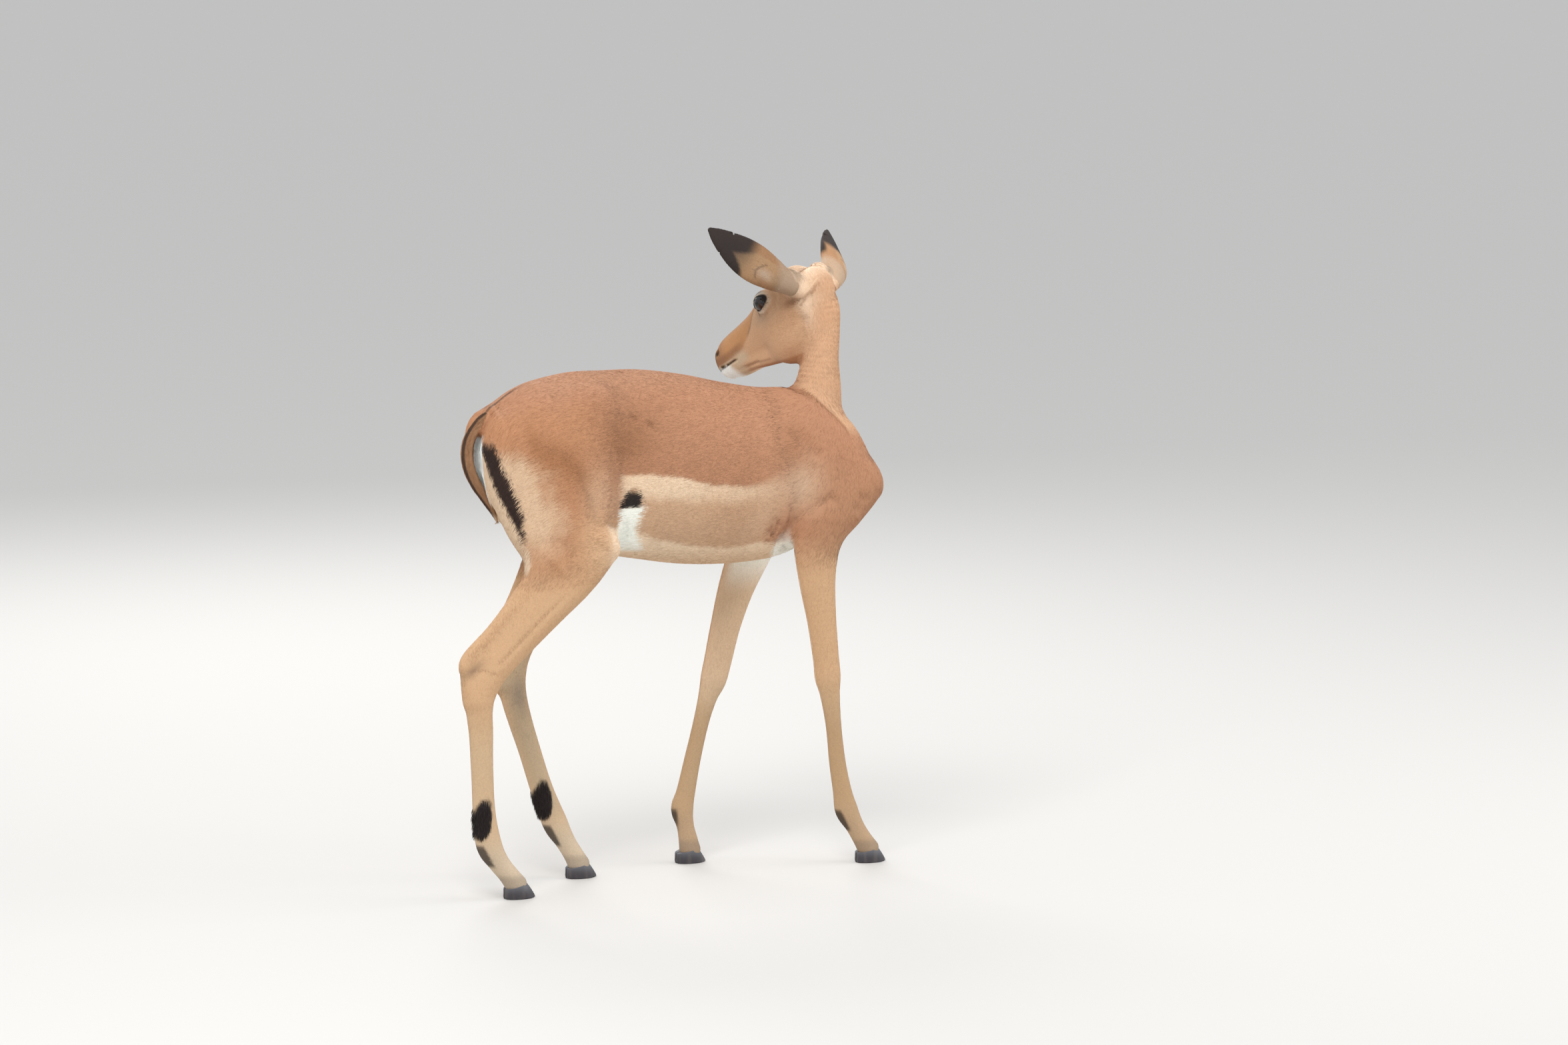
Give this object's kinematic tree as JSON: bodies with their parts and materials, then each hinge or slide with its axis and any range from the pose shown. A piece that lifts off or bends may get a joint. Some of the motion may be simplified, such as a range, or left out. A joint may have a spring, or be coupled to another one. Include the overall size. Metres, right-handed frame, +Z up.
{
  "type": "impala antelope",
  "caption": "Life-size hornless impala ewe standing with its legs apart, head turned back over the left shoulder, ears raised.",
  "frame": {"origin": "middle of the footprint box, on the floor under the hooves", "axes": "+X the way the body faces, +Y the animal's left, +Z up"},
  "size_m": [0.8377, 0.349, 1.0987],
  "materials": {
    "coat_fawn": "short flat fur, matt",
    "coat_leg": "short flat pale fur, matt",
    "coat_tail": "fur, matt",
    "coat_ear": "short fur, matt",
    "eye_dark": "wet gloss",
    "hoof_horn": "worn horn"
  },
  "bodies": {
    "root": {"trunk": "coat_fawn", "neck": "coat_fawn", "head": "coat_fawn", "right_fore_forearm": "coat_fawn", "left_fore_forearm": "coat_fawn", "right_hind_shank": "coat_fawn", "left_hind_shank": "coat_fawn", "right_fore_cannon": "coat_leg", "right_fore_pastern": "coat_leg", "right_hind_cannon": "coat_leg", "right_hind_pastern": "coat_leg", "left_fore_cannon": "coat_leg", "left_fore_pastern": "coat_leg", "left_hind_cannon": "coat_leg", "left_hind_pastern": "coat_leg", "tail": "coat_tail", "ear_left": "coat_ear", "ear_right": "coat_ear", "eye_left": "eye_dark", "eye_right": "eye_dark", "right_fore_claw_outer": "hoof_horn", "right_fore_claw_inner": "hoof_horn", "right_hind_claw_outer": "hoof_horn", "right_hind_claw_inner": "hoof_horn", "left_fore_claw_outer": "hoof_horn", "left_fore_claw_inner": "hoof_horn", "left_hind_claw_outer": "hoof_horn", "left_hind_claw_inner": "hoof_horn"}
  },
  "joints": []
}
